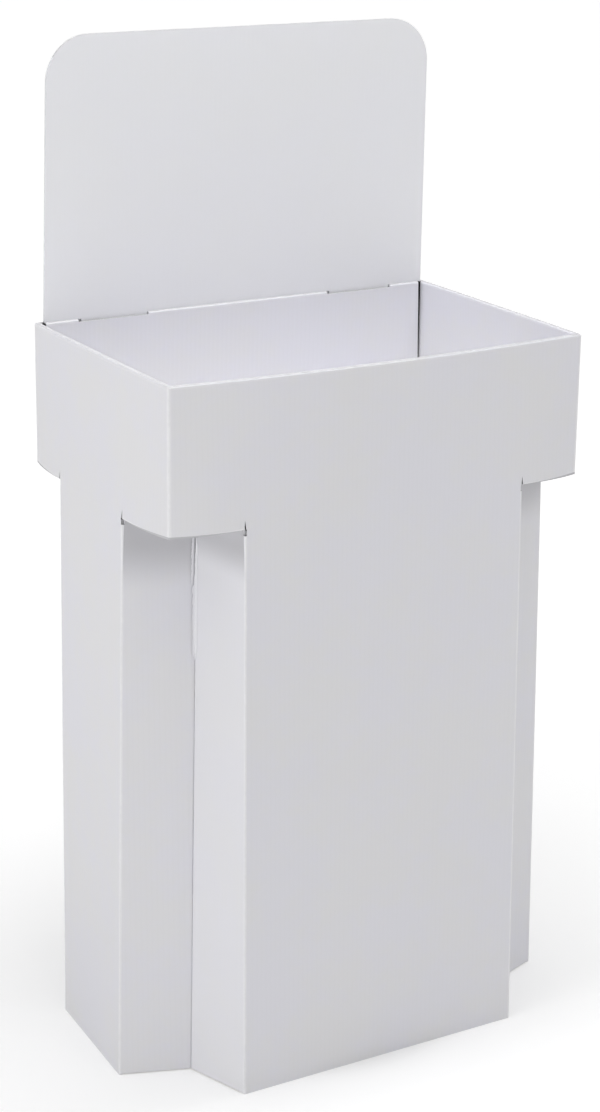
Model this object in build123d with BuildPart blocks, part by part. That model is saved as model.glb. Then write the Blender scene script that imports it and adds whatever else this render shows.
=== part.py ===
from build123d import *
from collections import namedtuple
from math import atan, cos, sin, sqrt
import os

# A free-standing bin for a shop floor, folded from white corrugated board.
# Millimetres, +Z up, the front faces -Y, and the origin lies on the floor under the middle.

# The board, and the room left where it is doubled
board = 3.0               # single-wall board
fold_radius = 2.0         # outside of every fold
roll_gap = 0.8            # between a wall and the flap rolled in behind it
header_play = 1.2         # spare room for the header's tabs inside the back wall
shelf_clearance = 1.0     # round the bin shelf
flap_clearance = 2.0      # between the rolled-in flaps and the shelf below them

# The hopper, measured over its corners
width = 570.0
depth = 362.0
rim_height = 906.0        # floor to rim
hopper_height = 176.0     # rim to the ledges that the legs make
corner_drop = 3.0         # the hopper's corners hang this far below the ledges

# The corners pushed in below the hopper
notch = 91.0              # side of each square overhang
score_width = 1.8         # the square groove pressed along each reversed corner
corner_lift = 1.6         # a pushed-in corner ends this far above the floor
lift_margin = 0.5         # but not within this of the leg creases, which stand on it
slit_width = 2.4          # the cut that frees a corner ends in a wedge above the ledge, this wide
slit_rise = 11.0
relief_width = 4.0        # and in a small open relief below the ledge
relief_drop = 8.0

# How far the panels stand out past straight lines between the hopper's corners
rim_swell_front = 7.4     # at the rim, above the front leg creases
rim_crown_front = 6.6     # further out at the middle of the front rim
rim_swell_side = 1.0
ledge_swell_front = 15.0
ledge_swell_side_front = 15.0
ledge_swell_side_rear = 11.0
foot_flare_front = 29.0
foot_flare_side_front = 29.0
foot_flare_side_rear = 17.0
foot_flare_back = 28.0
foot_spread_front = 5.0   # the creases at each side of a panel draw apart by this on their way down
foot_spread_side = 3.0

# The rolled rim
front_flap_gap = 1.0      # from the ends of the front flap to the side flaps
back_flap_gap = 5.0       # from the ends of the back flap to the side flaps, at the rim
back_flap_gap_foot = 1.2  # and as low as the ledges

# The header card
header_width = 553.0      # along its foot
header_taper = 6.0        # each side draws in by this at the top
header_height = 350.0     # rim to top edge
header_corner = 57.0      # radius of the two top corners
tab_spacing = 360.0
tab_width = 92.0
tab_draft = 6.0           # each side of a tab draws in by this at its tip
tab_length = 50.0
slot_play = 3.0           # at each end of a tab that stands in the middle of its slot
slot_end_gap = 1.0        # left at the right-hand end, because the card has slid to the right

# Worked out from the sizes above
ledge_height = rim_height - hopper_height
hopper_foot = ledge_height - corner_drop
half_width = width / 2
half_depth = depth / 2
fold_x = half_width - notch           # leg creases on the front and back
fold_y = half_depth - notch           # leg creases on the sides
back_slope = foot_flare_back / rim_height
back_cavity = board + header_play     # room for a tab between the back wall and its flap
plain_flap = board + roll_gap         # outside of a wall to the outside of its flap
back_flap = board + back_cavity
flap_foot = ledge_height + board + flap_clearance
header_shift = slot_play - slot_end_gap
corners = 4
upright_rise = 0.9                    # an edge is upright if it rises more than this share of its length
flap_cut_depth = 2 * (back_flap + board)
slit_depth = 2 * board + roll_gap     # from a board's thickness outside a wall to just inside it
slit_outline = [
    (-relief_width / 2, -relief_drop),
    (relief_width / 2, -relief_drop),
    (relief_width / 2, 0),
    (slit_width / 2, 0),
    (0, slit_rise),
    (-slit_width / 2, 0),
    (-relief_width / 2, 0),
]

Swell = namedtuple("Swell", "front crown side_front side_rear back")
Inset = namedtuple("Inset", "front side back")
LegFolds = namedtuple("LegFolds", "front front_corner side_front side_rear rear_corner back")

rim_swell = Swell(rim_swell_front, rim_crown_front, rim_swell_side, rim_swell_side, 0)
ledge_swell = Swell(
    ledge_swell_front, 0, ledge_swell_side_front, ledge_swell_side_rear, back_slope * hopper_height
)
foot_swell = Swell(foot_flare_front, 0, foot_flare_side_front, foot_flare_side_rear, foot_flare_back)
lift_size = notch + max(foot_swell)   # covers a whole pushed-in corner at the floor
lift_middle_x = fold_x + foot_spread_front + lift_margin + lift_size / 2
lift_middle_y = fold_y + foot_spread_side + lift_margin + lift_size / 2
flap_face = Inset(plain_flap, plain_flap, back_flap)
flap_inside = Inset(plain_flap + board, plain_flap + board, back_flap + board)
flap_end = half_width - flap_inside.side


def even(inset):
    """The same inset on every side."""
    return Inset(inset, inset, inset)


def swell_at(height):
    """How far the hopper's walls stand out at a height between the ledges and the rim."""
    share = (rim_height - height) / hopper_height
    return Swell(*(top + (low - top) * share for top, low in zip(rim_swell, ledge_swell)))


def hopper_creases(swell, inset):
    """Points of the right half of the hopper's outline, from the front crease round to the back."""
    return [
        Vector(fold_x, -(half_depth + swell.front - inset.front)),
        Vector(half_width - inset.side, -(half_depth - inset.front)),
        Vector(half_width + swell.side_front - inset.side, -fold_y),
        Vector(half_width + swell.side_rear - inset.side, fold_y),
        Vector(half_width - inset.side, half_depth - inset.back),
        Vector(fold_x, half_depth + swell.back - inset.back),
    ]


def hopper_section(height, inset):
    """Outline of the hopper at one height: crisp corners, with walls that swell out between them."""
    swell = swell_at(height)
    front, front_corner, side_front, side_rear, back_corner, back = hopper_creases(swell, inset)
    crown = Vector(0, -swell.crown)
    crown_fall = Vector(0, swell.crown * notch / fold_x)
    with BuildSketch(Plane.XY.offset(height)) as outline:
        with BuildLine():
            with BuildLine(mode=Mode.PRIVATE) as right_half:
                Bezier(front, Vector((front.X + front_corner.X) / 2, front.Y) + crown_fall, front_corner)
                Bezier(front_corner, (side_front.X, (front_corner.Y + side_front.Y) / 2), side_front)
                Line(side_front, side_rear)
                Bezier(side_rear, (side_rear.X, (side_rear.Y + back_corner.Y) / 2), back_corner)
                Bezier(back_corner, ((back_corner.X + back.X) / 2, back.Y), back)
            add(right_half.line)
            mirror(right_half.line, about=Plane.YZ)
            Bezier((-front.X, front.Y), Vector(0, front.Y) + 2 * crown, front)
            Line(back, (-back.X, back.Y))
        make_face()
    return outline.sketch


def pushed_in(start, end):
    """The reversed corner between two leg creases, one notch width from each."""
    chord = end - start
    inward = Vector(-chord.Y, chord.X).normalized()
    return (start + end) / 2 + inward * sqrt(notch**2 - (chord.length / 2) ** 2)


def leg_folds(swell, spread_front=0, spread_side=0):
    """Points of the right half of the legs' outline, from the front crease round to the back."""
    front = Vector(fold_x + spread_front, -(half_depth + swell.front))
    side_front = Vector(half_width + swell.side_front, -(fold_y + spread_side))
    side_rear = Vector(half_width + swell.side_rear, fold_y + spread_side)
    back = Vector(fold_x + spread_front, half_depth + swell.back)
    return LegFolds(
        front, pushed_in(front, side_front), side_front, side_rear, pushed_in(side_rear, back), back
    )


ledge_folds = leg_folds(ledge_swell)
foot_folds = leg_folds(foot_swell, foot_spread_front, foot_spread_side)
reversed_corners = (
    (ledge_folds.front_corner, foot_folds.front_corner),
    (ledge_folds.rear_corner, foot_folds.rear_corner),
)


def leg_section(height, right, inset):
    """Outline of the legs at one height: four flat panels and four corners folded in between them."""
    left = [Vector(-point.X, point.Y) for point in reversed(right)]
    with BuildSketch(Plane.XY.offset(height)) as outline:
        with BuildLine():
            Polyline(*right, *left, close=True)
        make_face()
        if inset:
            offset(amount=-inset, kind=Kind.INTERSECTION)
    return outline.sketch


def score_section(height, corner, side):
    """Outline of the groove along a reversed corner at one height, on the left or the right."""
    with BuildSketch(Plane.XY.offset(height)) as outline:
        with Locations((side * corner.X, corner.Y)):
            Rectangle(score_width, score_width)
    return outline.sketch


def wall_foot(corner, crease):
    """What is cut away under a wall: level between the leg creases, lower out to the corners."""
    return [
        (-corner, -corner_drop),
        (-crease, 0),
        (crease, 0),
        (corner, -corner_drop),
        (corner, -2 * corner_drop),
        (-corner, -2 * corner_drop),
    ]


def hopper_block(top, bottom, inset, mode=Mode.ADD):
    """A solid block with the hopper's outline between two heights."""
    loft([hopper_section(top, inset), hopper_section(bottom, inset)], ruled=True, mode=mode)


def leg_block(inset):
    """A solid block with the legs' outline, from the floor to the ledges."""
    loft([leg_section(ledge_height, ledge_folds, inset), leg_section(0, foot_folds, inset)], ruled=True)


def from_middle(edge):
    """How far an upright edge stands from the middle of the stand."""
    return Vector((edge @ 0.5).X, (edge @ 0.5).Y).length


def upright(edges):
    """The long edges that stand nearly upright, those nearest the middle first."""
    return edges.filter_by(lambda edge: abs((edge % 0.5).Z) > upright_rise).sort_by(from_middle)


# The space between each wall and the flap rolled in behind it, open at the flap's foot.
# It starts inside the wall itself, a quarter of the board in, so that nothing is left between them.
with BuildPart() as roll_cavity:
    hopper_block(rim_height - board, flap_foot, even(board / 4))
    hopper_block(rim_height - board, flap_foot, flap_face, mode=Mode.SUBTRACT)

# The rolled rim: a fold one board thick over the top of each wall, and a flap hanging inside it.
# It starts at the middle of the wall's board, so that wall and rim become one sheet.
with BuildPart() as rolled_rim:
    hopper_block(rim_height, flap_foot, even(board / 2))
    hopper_block(rim_height, flap_foot, flap_inside, mode=Mode.SUBTRACT)
    inner_rim = rolled_rim.faces().sort_by(Axis.Z)[-1].inner_wires()[0]
    fillet(inner_rim.edges(), radius=fold_radius)
    add(roll_cavity.part, mode=Mode.SUBTRACT)
    # The front flap ends just short of the side flaps
    with BuildSketch(Plane.XY.offset(rim_height)):
        for side in (-1, 1):
            with Locations((side * (flap_end - front_flap_gap / 2), -half_depth)):
                Rectangle(front_flap_gap, flap_cut_depth)
    extrude(amount=-hopper_height, mode=Mode.SUBTRACT)
    # The back flap's ends lean away from the side flaps
    with BuildSketch(Plane.XZ.offset(-half_depth)):
        for side in (-1, 1):
            Polygon(
                (side * flap_end, rim_height),
                (side * (flap_end - back_flap_gap), rim_height),
                (side * (flap_end - back_flap_gap_foot), ledge_height),
                (side * flap_end, ledge_height),
                align=None,
            )
    extrude(amount=flap_cut_depth / 2, both=True, mode=Mode.SUBTRACT)

# The legs outside: four flat panels with a rounded fold at each side of every pushed-in corner
with BuildPart() as legs:
    leg_block(0)
    fillet(upright(legs.edges())[corners:], radius=fold_radius)

# The legs inside, where the four pushed-in corners show the rounded side of their fold
with BuildPart() as leg_hollow:
    leg_block(board)
    fillet(upright(leg_hollow.edges())[:corners], radius=fold_radius)

# The carton: one sheet, with four walls, a rolled rim and legs that its corners are folded into
with BuildPart() as carton_body:
    hopper_block(rim_height, hopper_foot, even(0))
    outer_rim = carton_body.faces().sort_by(Axis.Z)[-1].outer_wire()
    fillet(outer_rim.edges() + upright(carton_body.edges())[-corners:], radius=fold_radius)
    hopper_block(rim_height, hopper_foot, even(board), mode=Mode.SUBTRACT)
    # The cut under each wall falls from the leg creases to the hopper's corners
    for side, swell in ((-1, ledge_swell.front), (1, ledge_swell.back)):
        with BuildSketch(Plane.XZ.offset(-side * (half_depth + swell + board))):
            with Locations((0, ledge_height)):
                Polygon(*wall_foot(half_width, fold_x), align=None)
        extrude(amount=side * (swell + 2 * board), mode=Mode.SUBTRACT)
    side_swell = max(ledge_swell.side_front, ledge_swell.side_rear)
    for side in (-1, 1):
        with BuildSketch(Plane.YZ.offset(side * (half_width + side_swell + board))):
            with Locations((0, ledge_height)):
                Polygon(*wall_foot(half_depth, fold_y), align=None)
        extrude(amount=-side * (side_swell + 2 * board), mode=Mode.SUBTRACT)
    add(legs.part)
    add(leg_hollow.part, mode=Mode.SUBTRACT)
    # A groove along each reversed corner, and the foot of each pushed-in corner cut short
    for side in (-1, 1):
        for top, bottom in reversed_corners:
            sections = [score_section(ledge_height, top, side), score_section(0, bottom, side)]
            loft(sections, ruled=True, mode=Mode.SUBTRACT)
    with BuildSketch():
        with GridLocations(2 * lift_middle_x, 2 * lift_middle_y, 2, 2):
            Rectangle(lift_size, lift_size)
    extrude(amount=corner_lift, mode=Mode.SUBTRACT)
    add(rolled_rim.part)
    # Two slots for the header's tabs, cut through the fold of the back rim
    with BuildSketch(Plane.XY.offset(rim_height)):
        with Locations((0, half_depth - board)):
            with GridLocations(tab_spacing, 0, 2, 1):
                Rectangle(
                    tab_width + 2 * slot_play, 2 * board + back_cavity, align=(Align.CENTER, Align.MAX)
                )
    extrude(amount=-board, mode=Mode.SUBTRACT)
    # The ends of the cuts that part the hopper's corners from the legs
    for side in (-1, 1):
        for end, swell in ((-1, ledge_swell.front), (1, ledge_swell.back)):
            with BuildSketch(Plane.XZ.offset(-end * (half_depth + swell + board))):
                with Locations((side * fold_x, ledge_height)):
                    Polygon(*slit_outline, align=None)
            extrude(amount=end * slit_depth, mode=Mode.SUBTRACT)
        for end, swell in ((-1, ledge_swell.side_front), (1, ledge_swell.side_rear)):
            with BuildSketch(Plane.YZ.offset(side * (half_width + swell + board))):
                with Locations((end * fold_y, ledge_height)):
                    Polygon(*slit_outline, align=None)
            extrude(amount=-side * slit_depth, mode=Mode.SUBTRACT)
carton_body.part.label = "carton_body"

# The bin shelf: a flat pad that lies on the four ledges at the tops of the folded-in corners
with BuildPart() as bin_shelf:
    edge = even(board + shelf_clearance)
    right = hopper_creases(ledge_swell, edge)
    left = [Vector(-point.X, point.Y) for point in reversed(right)]
    with BuildSketch(Plane.XY.offset(ledge_height)):
        with BuildLine():
            Polyline(*right, *left, close=True)
        make_face()
    extrude(amount=board)
bin_shelf.part.label = "bin_shelf"

# The header card: a flat card with two tabs, leaning as the back wall does
lean = atan(back_slope)
card_middle = half_depth - board - back_cavity / 2
card_plane = Plane(
    origin=(header_shift, card_middle, rim_height + board / 2 * sin(lean)),
    x_dir=(1, 0, 0),
    z_dir=(0, -cos(lean), -sin(lean)),
)
with BuildPart() as header_card:
    with BuildSketch(card_plane) as card_face:
        with BuildLine():
            Polyline(
                (-header_width / 2, 0),
                (header_width / 2, 0),
                (header_width / 2 - header_taper, header_height),
                (header_taper - header_width / 2, header_height),
                close=True,
            )
        make_face()
        fillet(card_face.vertices().group_by(Axis.Y)[-1], radius=header_corner)
        with GridLocations(tab_spacing, 0, 2, 1):
            Polygon(
                (-tab_width / 2, 0),
                (tab_draft - tab_width / 2, -tab_length),
                (tab_width / 2 - tab_draft, -tab_length),
                (tab_width / 2, 0),
                align=None,
            )
    extrude(amount=board / 2, both=True)
header_card.part.label = "header_card"

os.makedirs("parts", exist_ok=True)
for piece in (carton_body, bin_shelf, header_card):
    export_step(piece.part, f"parts/{piece.part.label}.step")
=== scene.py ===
import math
import random

import bmesh
import bpy
from mathutils import Matrix, Vector


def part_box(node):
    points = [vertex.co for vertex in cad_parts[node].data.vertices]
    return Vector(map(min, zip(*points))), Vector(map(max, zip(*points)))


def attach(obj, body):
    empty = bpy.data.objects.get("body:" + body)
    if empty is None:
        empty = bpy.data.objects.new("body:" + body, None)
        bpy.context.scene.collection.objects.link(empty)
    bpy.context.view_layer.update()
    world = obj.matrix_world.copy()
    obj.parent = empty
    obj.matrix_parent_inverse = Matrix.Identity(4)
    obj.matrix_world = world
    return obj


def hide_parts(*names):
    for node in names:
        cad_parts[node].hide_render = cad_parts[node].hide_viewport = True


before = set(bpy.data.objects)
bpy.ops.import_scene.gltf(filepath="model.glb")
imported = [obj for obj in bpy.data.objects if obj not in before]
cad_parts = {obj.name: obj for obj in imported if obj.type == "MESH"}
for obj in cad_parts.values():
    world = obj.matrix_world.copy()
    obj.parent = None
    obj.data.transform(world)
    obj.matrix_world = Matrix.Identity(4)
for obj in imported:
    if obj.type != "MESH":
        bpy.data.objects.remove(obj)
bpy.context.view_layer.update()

# The carton is one sheet of white single-wall board, die-cut and scored flat, then folded into four
# walls. Its coated outer paper shows the flutes beneath it as faint upright lines, drawn as a bump and
# a faint painted shade. Every fold stretches the paper and crushes it a little; along the folds it is
# painted paler, partly for the stretching and partly as painted highlight.
NEUTRAL_LINER = (0.806, 0.802, 0.818)
LAVENDER_LINER = (0.800, 0.797, 0.846)
FLUTE_SHADOW = [0.90 * c for c in NEUTRAL_LINER]
STRETCHED_AND_HIGHLIT_LINER = (0.90, 0.898, 0.915)
RIM_TOP_SHADE = (0.52, 0.518, 0.533)
CUT_BOARD = (0.66, 0.64, 0.61)
FLUTE_POCKET_SHADE = (0.34, 0.33, 0.31)
SLOT_EDGE_SHADE = (0.42, 0.418, 0.425)
UNLIT_BOARD = (0.02, 0.02, 0.021)
SLIT_SHADE = (0.40, 0.398, 0.41)
UNDER_HOPPER_SHADE = (0.56, 0.557, 0.58)
PALE_AND_LIT_LINER = (0.90, 0.898, 0.93)
LINER_ROUGHNESS = 0.52
LINER_IOR = 1.45
FLUTE_PITCH = 0.0065
FLUTE_RELIEF = 0.000009
FIBRE_RELIEF = 0.00001
FOLD_RELIEF = 0.0004
ROLL_RELIEF = 0.0012
BOARD = 0.003

HOPPER_HALF_WIDTH = 0.285
HOPPER_HALF_DEPTH = 0.181
NOTCH = 0.091
RIM = 0.906
LEDGE = 0.730
CORNER_DROP = 0.003
LEDGE_SWELL_FRONT = 0.015
LEDGE_SWELL_SIDE_REAR = 0.011
LEDGE_SWELL_BACK = 0.0054
FOOT_FLARE_FRONT = 0.029
FOOT_FLARE_SIDE_REAR = 0.017
FOOT_FLARE_BACK = 0.028
FOOT_SPREAD_FRONT = 0.005
FOOT_SPREAD_SIDE = 0.003
FOLD_X = HOPPER_HALF_WIDTH - NOTCH
FOLD_Y = HOPPER_HALF_DEPTH - NOTCH

# How many times a metre each kind of unevenness changes
BROAD_PATCHES = 9.0
SMALL_PATCHES = 60.0
FIBRES = 1400.0
FOLD_WANDER = 70.0
FOLD_PATCHES = 130.0
FOLD_CREASING = 260.0
ROLL_CREASING = 42.0

# How far from its line a fold's paler paper and painted highlight start to show, and how near they are
# at their palest
CREASE_REACH = (0.0034, 0.0010)
CORNER_REACH = (0.0042, 0.0012)
CUT_REACH = (0.0024, 0.0010)
RIM_REACH = (0.0022, 0.0006)

# A face is level if more than this share of its normal is upright, and one that a slit cuts is square
LEVEL = 0.8
SQUARE = 0.99
# Just inside the side walls and the front and back walls, where only the rolled flaps' backs are
BEHIND_SIDE_WALL = HOPPER_HALF_WIDTH - 0.0035
BEHIND_END_WALL = HOPPER_HALF_DEPTH - 0.0038
BACK_CAVITY = 0.0042
SLIT_HALF_WIDTH = 0.0026
SLIT_REACH = 0.0118
SLIT_FROM_FOLD = 0.09
NOTCH_MARGIN = 0.0006
SHADED_REACH = 0.095


class Wire:
    """A value inside a material, which takes part in Python's arithmetic."""

    def __init__(self, finish, socket):
        self.finish = finish
        self.socket = socket

    def math(self, operation, *others):
        return self.finish.math(operation, self, *others)

    def __add__(self, other):
        return self.math("ADD", other)

    def __sub__(self, other):
        return self.math("SUBTRACT", other)

    def __mul__(self, other):
        return self.math("MULTIPLY", other)

    def __gt__(self, other):
        return self.math("GREATER_THAN", other)

    def __lt__(self, other):
        return self.math("LESS_THAN", other)

    def __rsub__(self, other):
        return self.finish.math("SUBTRACT", other, self)

    def __abs__(self):
        return self.math("ABSOLUTE")

    __radd__ = __add__
    __rmul__ = __mul__


class Finish:
    """One material, or the studio's surroundings, with the nodes that make it."""

    def __init__(self, owner):
        owner.use_nodes = True
        self.owner = owner
        self.nodes = owner.node_tree.nodes
        self.links = owner.node_tree.links
        self.nodes.clear()

    def node(self, kind, settings, sockets, output=0):
        """Adds any node: its settings first, then the values or links of its sockets."""
        made = self.nodes.new(kind)
        for name, value in settings.items():
            setattr(made, name, value)
        for name, value in sockets.items():
            socket = made.inputs[name]
            if isinstance(value, Wire):
                self.links.new(value.socket, socket)
            elif socket.type == "RGBA":
                socket.default_value = (*value, 1.0)
            else:
                socket.default_value = value
        return Wire(self, made.outputs[output]) if made.outputs else None

    def math(self, operation, *values):
        return self.node("ShaderNodeMath", {"operation": operation}, dict(enumerate(values)))

    def vector(self, operation, *values, output="Vector"):
        settings = {"operation": operation}
        return self.node("ShaderNodeVectorMath", settings, dict(enumerate(values)), output)

    def axes(self, vector):
        return [self.node("ShaderNodeSeparateXYZ", {}, {"Vector": vector}, axis) for axis in "XYZ"]

    def colour(self, factor, below, above):
        """Lays one colour over another."""
        factor_in, below_in, above_in, colour_out = 0, 6, 7, 2
        sockets = {factor_in: factor, below_in: below, above_in: above}
        return self.node("ShaderNodeMix", {"data_type": "RGBA"}, sockets, colour_out)

    def step(self, value, start, end):
        """Rises smoothly from 0 at start to 1 at end, or falls where end is the lower one."""
        falls = start > end
        limits = {
            "Value": value,
            "From Min": min(start, end),
            "From Max": max(start, end),
            "To Min": float(falls),
            "To Max": float(not falls),
        }
        return self.node("ShaderNodeMapRange", {"interpolation_type": "SMOOTHSTEP"}, limits)

    def either(self, *masks):
        """The strongest of several masks."""
        strongest = masks[0]
        for mask in masks[1:]:
            strongest = self.math("MAXIMUM", strongest, mask)
        return strongest

    def noise(self, place, scale, detail=3.0):
        """Soft random values about 0.5 that change over about 1 / scale metres."""
        sockets = {"Vector": place, "Scale": scale, "Detail": detail}
        return self.node("ShaderNodeTexNoise", {}, sockets, "Fac")

    def off_line(self, place, start, end):
        """Distance from the straight line through two points."""
        along = (Vector(end) - Vector(start)).normalized()
        offset = self.vector("SUBTRACT", place, start)
        return self.vector("LENGTH", self.vector("CROSS_PRODUCT", offset, along), output="Value")

    def surface(self, sockets):
        """Ends a material in the main shader, and gives the material back."""
        body = self.node("ShaderNodeBsdfPrincipled", {}, sockets, "BSDF")
        self.node("ShaderNodeOutputMaterial", {}, {"Surface": body})
        return self.owner


def pushed_in(start, end):
    """The reversed corner between two leg creases, one notch width from each."""
    chord = end - start
    inward = Vector((-chord.y, chord.x)).normalized()
    return (start + end) / 2 + inward * math.sqrt(NOTCH**2 - (chord.length / 2) ** 2)


def leg_corners(front, side_front, side_rear, back, spread_front, spread_side, height):
    """The right half's folds at one height: four creases, then the front reversed corner."""
    creases = (
        Vector((FOLD_X + spread_front, -(HOPPER_HALF_DEPTH + front))),
        Vector((HOPPER_HALF_WIDTH + side_front, -(FOLD_Y + spread_side))),
        Vector((HOPPER_HALF_WIDTH + side_rear, FOLD_Y + spread_side)),
        Vector((FOLD_X + spread_front, HOPPER_HALF_DEPTH + back)),
    )
    corner = pushed_in(*creases[:2])
    return [point.to_3d() + Vector((0, 0, height)) for point in (*creases, corner)]


at_ledge = leg_corners(
    LEDGE_SWELL_FRONT, LEDGE_SWELL_FRONT, LEDGE_SWELL_SIDE_REAR, LEDGE_SWELL_BACK, 0, 0, LEDGE
)
at_floor = leg_corners(
    FOOT_FLARE_FRONT,
    FOOT_FLARE_FRONT,
    FOOT_FLARE_SIDE_REAR,
    FOOT_FLARE_BACK,
    FOOT_SPREAD_FRONT,
    FOOT_SPREAD_SIDE,
    0,
)
*leg_creases, reversed_corner = zip(at_floor, at_ledge)
hopper_corners = [
    [Vector((HOPPER_HALF_WIDTH, side * HOPPER_HALF_DEPTH, height)) for height in (LEDGE, RIM)]
    for side in (-1, 1)
]


def board_finish(name, wear_and_light=None):
    """White-lined board: flute lines, soft tinted patches, fibres, and whatever worn marks and painted
    light and shade it is given.
    """
    finish = Finish(bpy.data.materials.new(name))
    place = finish.node("ShaderNodeTexCoord", {}, {}, "Object")
    normal = finish.node("ShaderNodeNewGeometry", {}, {}, "Normal")
    x, y = finish.axes(place)[:2]
    facing = finish.axes(normal)
    faces_side = abs(facing[0]) > abs(facing[1])
    on_side = faces_side * (1 - (abs(facing[2]) > LEVEL))
    across = y * on_side + x * (1 - on_side)

    flutes = finish.math("SINE", across * (2 * math.pi / FLUTE_PITCH))
    mottle = finish.noise(place, BROAD_PATCHES) * 0.7 + finish.noise(place, SMALL_PATCHES) * 0.3
    fibres = finish.noise(place, FIBRES, 2.0)
    colour = finish.colour(finish.step(mottle, 0.36, 0.64), NEUTRAL_LINER, LAVENDER_LINER)
    colour = finish.colour(finish.step(flutes, 0.2, 1.0) * 0.07, colour, FLUTE_SHADOW)
    relief = flutes * FLUTE_RELIEF + fibres * FIBRE_RELIEF
    if wear_and_light:
        colour, relief = wear_and_light(finish, place, facing, colour, relief)
    bump_sockets = {"Strength": 1.0, "Distance": 1.0, "Height": relief}
    bump = finish.node("ShaderNodeBump", {}, bump_sockets, "Normal")
    roughness = LINER_ROUGHNESS + 0.1 * (mottle - 0.5)
    return finish.surface(
        {"Base Color": colour, "Roughness": roughness, "Normal": bump, "IOR": LINER_IOR}
    )


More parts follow.
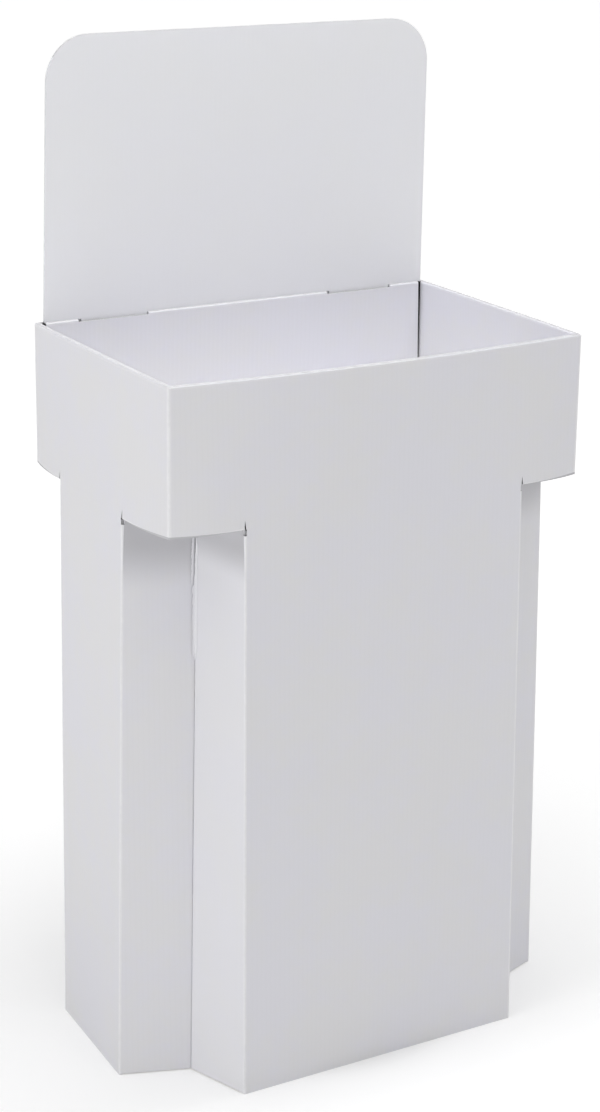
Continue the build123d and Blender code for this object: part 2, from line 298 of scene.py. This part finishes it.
def carton_wear_and_painted_light(finish, place, facing, colour, relief):
    """Stretched paper along the folds, the rolled rim, cut edges, and the unlit space behind a flap."""
    # Paler paper along the folds, partly stretching and partly painted highlight; painted shade on the
    # rim's top, in flute openings, in each slit and slot, under the hopper's corners and behind a flap;
    # painted light on the panel beside the front leg.
    x, y, z = finish.axes(place)
    right_half = finish.node("ShaderNodeCombineXYZ", {}, {"X": abs(x), "Y": y, "Z": z})
    is_level = abs(facing[2]) > LEVEL
    below = z < LEDGE
    outside_x, outside_y = abs(x) - FOLD_X, abs(y) - FOLD_Y
    wander = finish.noise(place, FOLD_WANDER) * 0.0016 - 0.0008
    patchy = 0.45 + 0.9 * finish.noise(place, FOLD_PATCHES)

    def along(folds, reach):
        return finish.either(
            *(finish.step(finish.off_line(right_half, *fold) + wander, *reach) for fold in folds)
        )

    creases = along(leg_creases, CREASE_REACH)
    corners = along(hopper_corners, CORNER_REACH)
    # The hopper's corners end in a slanting cut, whose paper is crushed and painted paler, partly for
    # the crushing and partly as painted highlight
    drop_x = outside_x * (CORNER_DROP / NOTCH)
    drop_y = outside_y * (CORNER_DROP / NOTCH)
    cut_height = LEDGE - finish.math("MINIMUM", drop_x, drop_y)
    on_corner = (drop_x > 0.0) * (drop_y > 0.0)
    cut_edge = finish.step(abs(z - cut_height) + wander * 0.4, *CUT_REACH) * on_corner
    beside_rim = finish.step(abs(z - (RIM - BOARD)) + wander, *RIM_REACH)
    # Painted highlight together with stretched paper: folds, the corners' cut and the line under the
    # rim are painted paler
    stretched_and_highlit = (
        finish.either(creases * below, corners * (1 - below), cut_edge, beside_rim * 0.3) * patchy
    )
    colour = finish.colour(stretched_and_highlit, colour, STRETCHED_AND_HIGHLIT_LINER)
    relief = relief + finish.noise(place, FOLD_CREASING) * stretched_and_highlit * FOLD_RELIEF

    # The rim's paper is crushed where it rolls over, and its top is painted greyer as shade, holding
    # down the overhead light on it
    faces_up = finish.step(facing[2], 0.5, 0.9)
    rolled = finish.step(z + wander, RIM - 0.0026, RIM - 0.0008) * faces_up
    colour = finish.colour(rolled * patchy, colour, RIM_TOP_SHADE)
    relief = relief + finish.noise(place, ROLL_CREASING) * rolled * ROLL_RELIEF

    # Cut edges show the flute openings, their darkness painted as shade; in the rim's two slots the cut
    # edge is painted as a grey line of shade
    cut = is_level * (z < LEDGE + 0.02)
    pocket_shade = finish.step(finish.math("SINE", (x + y) * (2 * math.pi / FLUTE_PITCH)), -0.4, 0.6)
    colour = finish.colour(cut, colour, finish.colour(pocket_shade, CUT_BOARD, FLUTE_POCKET_SHADE))
    # Painted shade: the flap's cut top edge in each slot is painted grey for the shadow between header
    # and flap
    slot_edge_shade = is_level * (abs(z - (RIM - BOARD)) < 0.0005)
    colour = finish.colour(slot_edge_shade, colour, SLOT_EDGE_SHADE)

    # Painted shade darkens the paper under the hopper's corners, and painted light makes the
    # left-facing panel beside the front leg paler
    in_notch = (outside_x > NOTCH_MARGIN) * (outside_y > NOTCH_MARGIN) * below
    on_inner_side = abs(facing[0]) > abs(facing[1])
    shaded_reach = SHADED_REACH + on_inner_side * (outside_y * 0.08 - 0.033)
    under_hopper_shade = finish.step(finish.math("DIVIDE", LEDGE - z, shaded_reach), 1.0, 0.3) * in_notch
    # Painted light: the left-facing panel beside the front leg is painted paler
    painted_light_side = (facing[0] < -0.8) * (x > -0.24) * (x < -0.190) * (y < -0.10) * below
    colour = finish.colour(painted_light_side * 0.5, colour, PALE_AND_LIT_LINER)
    colour = finish.colour(under_hopper_shade, colour, UNDER_HOPPER_SHADE)

    # The sides of each slit that frees a hopper corner are painted dark grey as shade, so they read as
    # dark gaps
    beside_ledge = abs(z - LEDGE) < SLIT_REACH
    in_slit_x = abs(outside_x) < SLIT_HALF_WIDTH
    in_slit_y = abs(outside_y) < SLIT_HALF_WIDTH
    slit_x = in_slit_x * (outside_y > SLIT_FROM_FOLD) * (abs(facing[0]) > SQUARE)
    slit_y = in_slit_y * (outside_x > SLIT_FROM_FOLD) * (abs(facing[1]) > SQUARE)
    slit_floor = is_level * finish.either(in_slit_x, in_slit_y) * below
    slit_shade = finish.either(slit_x, slit_y, slit_floor) * beside_ledge
    colour = finish.colour(slit_shade, colour, SLIT_SHADE)

    # The sides of the board that the rolled flaps hide, below the roll of the rim, are painted
    # near-black as shade too
    from_wall = HOPPER_HALF_DEPTH + (RIM - z) * (FOOT_FLARE_BACK / RIM) - y
    in_cavity = (from_wall > 0.001) * (from_wall < BOARD + BACK_CAVITY) * (facing[1] < 0.5)
    behind_flap = in_cavity * (abs(x) < BEHIND_SIDE_WALL)
    flap_back_x = (x * facing[0] > 0.15) * (abs(x) < BEHIND_SIDE_WALL)
    flap_back_y = (y * facing[1] > 0.08) * (abs(y) < BEHIND_END_WALL)
    unlit = finish.either(behind_flap, flap_back_x, flap_back_y)
    in_hopper = (z > LEDGE - 0.002) * (1 - is_level)
    under_roll = finish.either(z < RIM - 0.0035, (abs(x) > 0.262) * (z < RIM - 0.0012))
    return finish.colour(unlit * in_hopper * under_roll, colour, UNLIT_BOARD), relief


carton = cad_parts["carton_body"]
carton.data.materials.clear()
carton.data.materials.append(board_finish("carton_board", carton_wear_and_painted_light))

# At the front left, folding the corner in has torn the outer paper: a burr stands up beside the
# fold, and below it the next panel's paper laps over the fold with a ragged edge.
PAPER = 0.00025
NICKS = (0.614, 0.627, 0.6405)
NICK_HEIGHT = 0.0016
NICK_DEPTH = 0.0014
RAGGEDNESS = 0.0004
OFF_BOARD = 0.00012
TEAR_ROWS = 90
TEAR_STRIPS = 6


def along_corner(height):
    """The front left reversed corner at a height, and the way that its two panels run from it."""
    share = height / LEDGE
    corner, front_crease, side_crease = (
        floor_end.lerp(ledge_end, share)
        for floor_end, ledge_end in (reversed_corner, leg_creases[0], leg_creases[1])
    )
    to_left, to_front = side_crease - corner, front_crease - corner
    for vector in (corner, to_left, to_front):
        vector.x = -vector.x
    return corner, to_left.normalized(), to_front.normalized()


def between(value, stops):
    """Reads a height off a list of (height, value) stops, in straight runs."""
    for (low, at_low), (high, at_high) in zip(stops, stops[1:]):
        if low <= value <= high:
            return at_low + (at_high - at_low) * (value - low) / (high - low)
    return stops[0][1] if value < stops[0][0] else stops[-1][1]


def pale_and_lit_paper(paleness_and_light, finish, place, facing, colour, relief):
    """The torn paper's curled face, paler than the rest: partly the torn paper's own paler face and
    partly painted light.
    """
    return finish.colour(paleness_and_light, colour, PALE_AND_LIT_LINER), relief


def torn_paper(name, low, high, inner, outer, lift, seed, paleness_and_light):
    """A thin lip along the corner. Its edges, inner and outer, are stops of (height, distance from
    the fold), which is more than 0 on the left panel and less than 0 on the panel beside the leg."""
    ragged = random.Random(seed)
    mesh = bmesh.new()
    rows = []
    drift = 0.0
    for index in range(TEAR_ROWS + 1):
        height = low + (high - low) * index / TEAR_ROWS
        corner, to_left, to_front = along_corner(height)
        out = (to_left + to_front).normalized()
        drift = 0.6 * drift + ragged.uniform(-RAGGEDNESS, RAGGEDNESS)
        nick = max(math.exp(-((height - place) / NICK_HEIGHT) ** 2) for place in NICKS)
        near, far = between(height, inner), between(height, outer) + drift - NICK_DEPTH * nick
        row = []
        for part in range(TEAR_STRIPS + 1):
            share = part / TEAR_STRIPS
            reach = near + (far - near) * share
            on_panel = to_left * reach if reach > 0 else to_front * -reach
            rise = lift * math.sin(0.6 * math.pi * share)
            row.append(mesh.verts.new(corner + on_panel + out * (rise + OFF_BOARD)))
        rows.append(row)
    for lower, upper in zip(rows, rows[1:]):
        for part in range(TEAR_STRIPS):
            mesh.faces.new((lower[part], lower[part + 1], upper[part + 1], upper[part]))
    bmesh.ops.recalc_face_normals(mesh, faces=mesh.faces)
    sheet = bpy.data.meshes.new(name)
    mesh.to_mesh(sheet)
    mesh.free()
    sheet.materials.append(board_finish(name, lambda *given: pale_and_lit_paper(paleness_and_light, *given)))
    piece = bpy.data.objects.new(name, sheet)
    bpy.context.scene.collection.objects.link(piece)
    thickness = piece.modifiers.new("paper", "SOLIDIFY")
    thickness.thickness = PAPER
    thickness.offset = 0.0
    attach(piece, "root")


torn_paper(
    "torn_burr",
    low=0.640,
    high=0.702,
    inner=[(0.640, 0.0032), (0.652, 0.0022), (0.702, 0.0022)],
    outer=[(0.640, 0.0048), (0.690, 0.0048), (0.702, 0.0030)],
    lift=0.0012,
    seed=3,
    paleness_and_light=1.0,
)
torn_paper(
    "torn_lap",
    low=0.546,
    high=0.700,
    inner=[(0.546, -0.0012), (0.560, -0.0040), (0.690, -0.0040), (0.700, -0.0015)],
    outer=[
        (0.546, 0.0000),
        (0.549, 0.0006),
        (0.553, 0.0028),
        (0.590, 0.0032),
        (0.637, 0.0035),
        (0.642, 0.0026),
        (0.650, 0.0010),
        (0.700, -0.0006),
    ],
    lift=0.0015,
    seed=8,
    paleness_and_light=0.6,
)

# The header card is a flat card of the same board, die-cut with round top corners and two tabs that
# go down through the back rim. Like all the board it is two papers glued to a wavy one between them.
LINER = 0.0003
MEDIUM = 0.0002
MEDIUM_PAPER = (0.80, 0.79, 0.79)
MEDIUM_SHADOW = [0.9 * c for c in MEDIUM_PAPER]
MEDIUM_INSET = 0.0001
STEPS_PER_FLUTE = 12
HEADER_FOOT_LIGHT = (0.880, 0.885, 0.905)
HEADER_TOP_SHADE = (0.742, 0.748, 0.767)
HEADER_LIGHT_SHARE = 0.7
HEADER_WIDTH = 0.553
HEADER_TAPER = 0.006
HEADER_HEIGHT = 0.350
HEADER_CORNER = 0.057
CORNER_STEPS = 24
TAB_SPACING = 0.360
TAB_WIDTH = 0.092
TAB_DRAFT = 0.006
TAB_LENGTH = 0.050
HEADER_SHIFT = 0.002
HEADER_FROM_WALL = 0.0051
HEADER_LEAN = math.atan(FOOT_FLARE_BACK / RIM)


def header_outline():
    """The right half from the middle of the foot round to the top, then its mirror image."""
    slope = math.atan(HEADER_TAPER / HEADER_HEIGHT)
    arc_height = HEADER_HEIGHT - HEADER_CORNER
    arc_middle = (
        HEADER_WIDTH / 2 - HEADER_TAPER * arc_height / HEADER_HEIGHT - HEADER_CORNER / math.cos(slope)
    )
    tab_inner, tab_outer = (TAB_SPACING - TAB_WIDTH) / 2, (TAB_SPACING + TAB_WIDTH) / 2
    half = [
        (tab_inner, 0),
        (tab_inner + TAB_DRAFT, -TAB_LENGTH),
        (tab_outer - TAB_DRAFT, -TAB_LENGTH),
        (tab_outer, 0),
        (HEADER_WIDTH / 2, 0),
    ]
    for part in range(CORNER_STEPS + 1):
        angle = slope + (math.pi / 2 - slope) * part / CORNER_STEPS
        half.append(
            (arc_middle + HEADER_CORNER * math.cos(angle), arc_height + HEADER_CORNER * math.sin(angle))
        )
    return half + [(-u, v) for u, v in reversed(half)]


def span(outline, u):
    """The lowest and highest points of an outline on the upright line at u."""
    heights = []
    for (u0, v0), (u1, v1) in zip(outline, outline[1:] + outline[:1]):
        if min(u0, u1) <= u <= max(u0, u1) and u0 != u1:
            heights.append(v0 + (v1 - v0) * (u - u0) / (u1 - u0))
    return min(heights), max(heights)


def fluted_board(name, outline, place, liner_finish, node):
    """Single-wall board cut to an outline: two liners, and the wavy medium that holds them apart."""
    mesh = bmesh.new()
    inner_rings = []
    for side in (-1, 1):
        skins = (side * BOARD / 2, side * (BOARD / 2 - LINER))
        rings = [[mesh.verts.new((u, v, w)) for u, v in outline] for w in skins]
        inner_rings.append(rings[1])
        for ring in rings:
            mesh.faces.new(ring)
        for index in range(len(outline)):
            after = (index + 1) % len(outline)
            mesh.faces.new((rings[0][index], rings[0][after], rings[1][after], rings[1][index]))
    # Where the die cuts along the flutes, it crushes the edge shut
    behind, before = inner_rings
    for index, (u, v) in enumerate(outline):
        after = (index + 1) % len(outline)
        next_u, next_v = outline[after]
        if abs(next_v - v) > 1.5 * abs(next_u - u):
            mesh.faces.new((behind[index], behind[after], before[after], before[index]))

    wave = BOARD / 2 - LINER - MEDIUM / 2
    first, last = min(u for u, v in outline), max(u for u, v in outline)
    parts = round((last - first) / (FLUTE_PITCH / STEPS_PER_FLUTE))
    rows = []
    for index in range(parts + 1):
        u = first + MEDIUM_INSET + (last - first - 2 * MEDIUM_INSET) * index / parts
        low, high = span(outline, u)
        low, high = low + MEDIUM_INSET, high - MEDIUM_INSET
        middle = wave * math.sin(2 * math.pi * u / FLUTE_PITCH)
        back_skin, front_skin = middle - MEDIUM / 2, middle + MEDIUM / 2
        corners = ((low, back_skin), (high, back_skin), (high, front_skin), (low, front_skin))
        rows.append([mesh.verts.new((u, v, w)) for v, w in corners])
    medium_faces = [mesh.faces.new(rows[0]), mesh.faces.new(rows[-1])]
    for row, after in zip(rows, rows[1:]):
        for corner in range(4):
            beside = (corner + 1) % 4
            medium_faces.append(
                mesh.faces.new((row[corner], row[beside], after[beside], after[corner]))
            )
    for face in medium_faces:
        face.material_index = 1
    bmesh.ops.recalc_face_normals(mesh, faces=mesh.faces)
    bmesh.ops.transform(mesh, matrix=place, verts=mesh.verts)
    sheet = bpy.data.meshes.new(name)
    mesh.to_mesh(sheet)
    mesh.free()
    sheet.materials.append(liner_finish)
    sheet.materials.append(medium_finish)
    piece = bpy.data.objects.new(name, sheet)
    bpy.context.scene.collection.objects.link(piece)
    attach(piece, "root")
    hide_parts(node)


fluting = Finish(bpy.data.materials.new("fluting_medium"))
fluting_grain = fluting.noise(fluting.node("ShaderNodeTexCoord", {}, {}, "Object"), 300.0)
fluting_colour = fluting.colour(fluting_grain, MEDIUM_SHADOW, MEDIUM_PAPER)
medium_finish = fluting.surface({"Base Color": fluting_colour, "Roughness": 0.85})


def header_painted_light(finish, place, facing, colour, relief):
    """Painted light and shade: the card is painted lighter near its foot and darker near its top,
    against how the overhead light falls on it.
    """
    height = finish.axes(place)[2]
    header_light_gradient = finish.colour(finish.step(height, RIM, RIM + HEADER_HEIGHT), HEADER_FOOT_LIGHT, HEADER_TOP_SHADE)
    return finish.colour(HEADER_LIGHT_SHARE, colour, header_light_gradient), relief


card_up = Vector((0, -math.sin(HEADER_LEAN), math.cos(HEADER_LEAN)))
card_out = Vector((0, -math.cos(HEADER_LEAN), -math.sin(HEADER_LEAN)))
card_foot = Vector(
    (HEADER_SHIFT, HOPPER_HALF_DEPTH - HEADER_FROM_WALL, RIM + BOARD / 2 * math.sin(HEADER_LEAN))
)
card_place = Matrix((Vector((1, 0, 0)), card_up, card_out)).transposed().to_4x4()
card_place.translation = card_foot
fluted_board(
    "header_card_board",
    header_outline(),
    card_place,
    board_finish("header_board", header_painted_light),
    "header_card",
)

# The bin shelf is a loose pad, die-cut from the same white board to the shape of the legs' inside.
# It isn't fixed to anything: it lies on the four ledges that the pushed-in corners make.
shelf_low, shelf_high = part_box("bin_shelf")
shelf_middle = (shelf_low[2] + shelf_high[2]) / 2
shelf_points = {
    (round(vertex.co.x, 6), round(vertex.co.y, 6))
    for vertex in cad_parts["bin_shelf"].data.vertices
    if vertex.co.z < shelf_middle
}
shelf_outline = sorted(shelf_points, key=lambda point: math.atan2(point[1], point[0]))
fluted_board(
    "bin_shelf_board",
    shelf_outline,
    Matrix.Translation((0, 0, shelf_middle)),
    board_finish("shelf_board"),
    "bin_shelf",
)

# The stand is shown on a plain white studio floor, which glows a little further off and is dark
# inside the legs, under broad soft lights and a pale sky.
FLOOR_REACH = 30.0
FLOOR_WHITE = (0.75, 0.75, 0.75)
UNLIT_FLOOR = (0, 0, 0)
FLOOR_NEAR_GLOW = [0.279] * 3
FLOOR_FAR_GLOW = [0.537] * 3
GLOW_STARTS = (0.16, 0.26)
GLOW_GROWS = (0.5, 2.5)
SKY_OVERHEAD = 1.237
SKY_IN_FRONT = 0.159

bpy.ops.mesh.primitive_plane_add(size=2 * FLOOR_REACH, location=(0, 0, 0))
floor = bpy.context.object
floor.name = "studio_floor"
floor_finish = Finish(bpy.data.materials.new("studio_floor"))
floor_place = floor_finish.node("ShaderNodeTexCoord", {}, {}, "Object")
floor_off = floor_finish.vector("LENGTH", floor_place, output="Value")
near_glow = floor_finish.colour(
    floor_finish.step(floor_off, *GLOW_STARTS), UNLIT_FLOOR, FLOOR_NEAR_GLOW
)
floor_glow = floor_finish.colour(floor_finish.step(floor_off, *GLOW_GROWS), near_glow, FLOOR_FAR_GLOW)
floor_sockets = {
    "Base Color": FLOOR_WHITE,
    "Roughness": 0.9,
    "Emission Color": floor_glow,
    "Emission Strength": 1.0,
}
floor.data.materials.append(floor_finish.surface(floor_sockets))

bpy.context.scene.world = bpy.data.worlds.new("studio")
sky = Finish(bpy.context.scene.world)
sky_y, sky_z = sky.axes(sky.node("ShaderNodeTexCoord", {}, {}, "Generated"))[1:]
overhead = sky.math("POWER", sky.math("MAXIMUM", sky_z, 0.0), 2.0)
in_front = sky.math("POWER", sky.math("MAXIMUM", sky_y * -1.0, 0.0), 2.0)
sky_sockets = {
    "Color": (1.0, 1.0, 1.0),
    "Strength": overhead * SKY_OVERHEAD + in_front * SKY_IN_FRONT,
}
sky.node("ShaderNodeOutputWorld", {}, {"Surface": sky.node("ShaderNodeBackground", {}, sky_sockets)})


def softbox(name, place, aim, width, height, watts):
    """A rectangular studio light, turned to face a point."""
    light = bpy.data.lights.new(name, "AREA")
    light.shape = "RECTANGLE"
    light.size, light.size_y = width, height
    light.energy = watts
    lamp = bpy.data.objects.new(name, light)
    bpy.context.scene.collection.objects.link(lamp)
    turn = (Vector(aim) - Vector(place)).to_track_quat("-Z", "Y")
    lamp.matrix_world = Matrix.LocRotScale(Vector(place), turn, None)


softbox("light_overhead", (0.0, -0.1, 2.5), (0.0, 0.0, 0.9), 1.4, 0.4, watts=21.5)
softbox("light_left_low", (-3.0, -0.4, 0.6), (0.0, 0.0, 0.4), 1.6, 1.0, watts=9.95)
softbox("light_left_high", (-0.9, -0.4, 2.1), (0.0, 0.1, 0.9), 1.0, 1.0, watts=1.76)
softbox("light_right_high", (2.4, 0.2, 2.2), (0.0, 0.0, 0.8), 1.4, 1.4, watts=3.71)
softbox("light_front_top", (0.0, -2.2, 2.8), (0.0, 0.0, 0.8), 2.0, 1.0, watts=2.44)

# The camera stands to the left of the front, a little over 3 m away and looking down on the rim.
# A long lens keeps the stand's upright edges almost parallel, as they are in the photograph.
CAMERA_AZIMUTH = math.radians(-30.39)
CAMERA_ELEVATION = math.radians(18.37)
CAMERA_ROLL = math.radians(0.73)
CAMERA_DISTANCE = 3.08054
CAMERA_TARGET = Vector((-0.00575, 0.0, 0.61142))
LENS_MM = 78.61
SENSOR_MM = 36.0
VIEW_REACH = 100.0

back = Vector(
    (
        math.sin(CAMERA_AZIMUTH) * math.cos(CAMERA_ELEVATION),
        -math.cos(CAMERA_AZIMUTH) * math.cos(CAMERA_ELEVATION),
        math.sin(CAMERA_ELEVATION),
    )
)
right = Vector((math.cos(CAMERA_AZIMUTH), math.sin(CAMERA_AZIMUTH), 0.0))
up = back.cross(right)
turned_right = right * math.cos(CAMERA_ROLL) + up * math.sin(CAMERA_ROLL)
turned_up = up * math.cos(CAMERA_ROLL) - right * math.sin(CAMERA_ROLL)
lens = bpy.data.cameras.new("camera")
lens.lens = LENS_MM
lens.sensor_width = SENSOR_MM
lens.clip_end = VIEW_REACH
camera = bpy.data.objects.new("camera", lens)
bpy.context.scene.collection.objects.link(camera)
turn = Matrix((turned_right, turned_up, back)).transposed().to_quaternion()
camera.matrix_world = Matrix.LocRotScale(CAMERA_TARGET + back * CAMERA_DISTANCE, turn, None)
bpy.context.scene.camera = camera
bpy.context.scene.view_settings.view_transform = "Standard"
